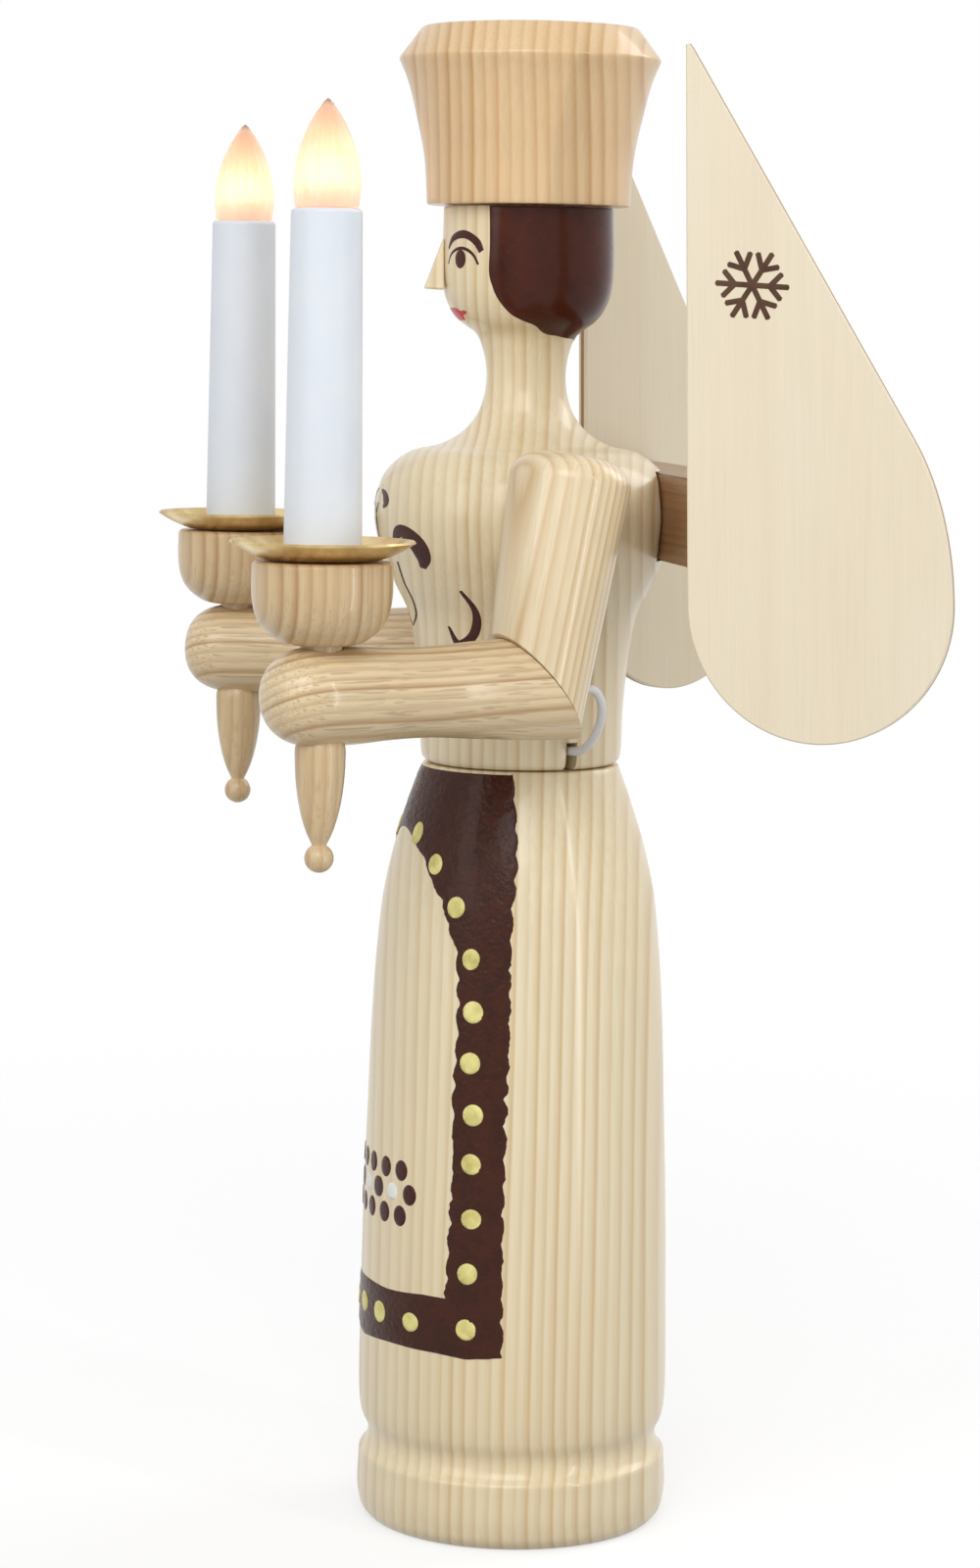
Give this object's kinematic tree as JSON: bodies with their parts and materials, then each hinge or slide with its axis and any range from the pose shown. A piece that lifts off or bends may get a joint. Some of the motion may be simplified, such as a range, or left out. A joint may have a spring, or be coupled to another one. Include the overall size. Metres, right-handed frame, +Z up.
{
  "type": "light-up angel figure",
  "caption": "Turned wooden angel figure with painted dress, plywood wings and lit candle lamps on brass drip plates held in its hands.",
  "frame": {"origin": "centre of the skirt's underside, on the surface the figure stands on", "axes": "+Z up; the figure faces -Y; its own left hand is at +X"},
  "size_m": [0.1632, 0.1515, 0.3363],
  "materials": {
    "body_wood": "satin varnish",
    "arm_wood": "satin varnish",
    "cup_wood": "satin varnish",
    "hat_wood": "satin varnish",
    "block_wood": "satin varnish",
    "dowel_wood": "raw",
    "plywood": "satin varnish",
    "brass_plate": "satin",
    "sleeve_plastic": "matt white",
    "holder_plastic": "matt white",
    "terminal_plastic": "matt",
    "lead_plastic": "matt white",
    "lit_glass": "ribbed, lit"
  },
  "bodies": {
    "root": {"skirt": "body_wood", "torso": "body_wood", "nose": "body_wood", "hat": "hat_wood", "base_cover": "plywood", "terminal_block": "terminal_plastic", "upper_arm_left": "body_wood", "upper_arm_right": "body_wood", "shoulder_dowel_left": "dowel_wood", "shoulder_dowel_right": "dowel_wood", "forearm_left": "arm_wood", "forearm_right": "arm_wood", "bottom_finial_left": "cup_wood", "bottom_finial_right": "cup_wood", "candle_cup_left": "cup_wood", "candle_cup_right": "cup_wood", "drip_plate_left": "brass_plate", "drip_plate_right": "brass_plate", "candle_sleeve_left": "sleeve_plastic", "candle_sleeve_right": "sleeve_plastic", "lamp_holder_left": "holder_plastic", "lamp_holder_right": "holder_plastic", "bulb_left": "lit_glass", "bulb_right": "lit_glass", "wing_block": "block_wood", "wing_dowel": "dowel_wood", "wing_left": "plywood", "wing_right": "plywood", "lamp_lead_left": "lead_plastic", "lamp_lead_right": "lead_plastic"}
  },
  "joints": []
}
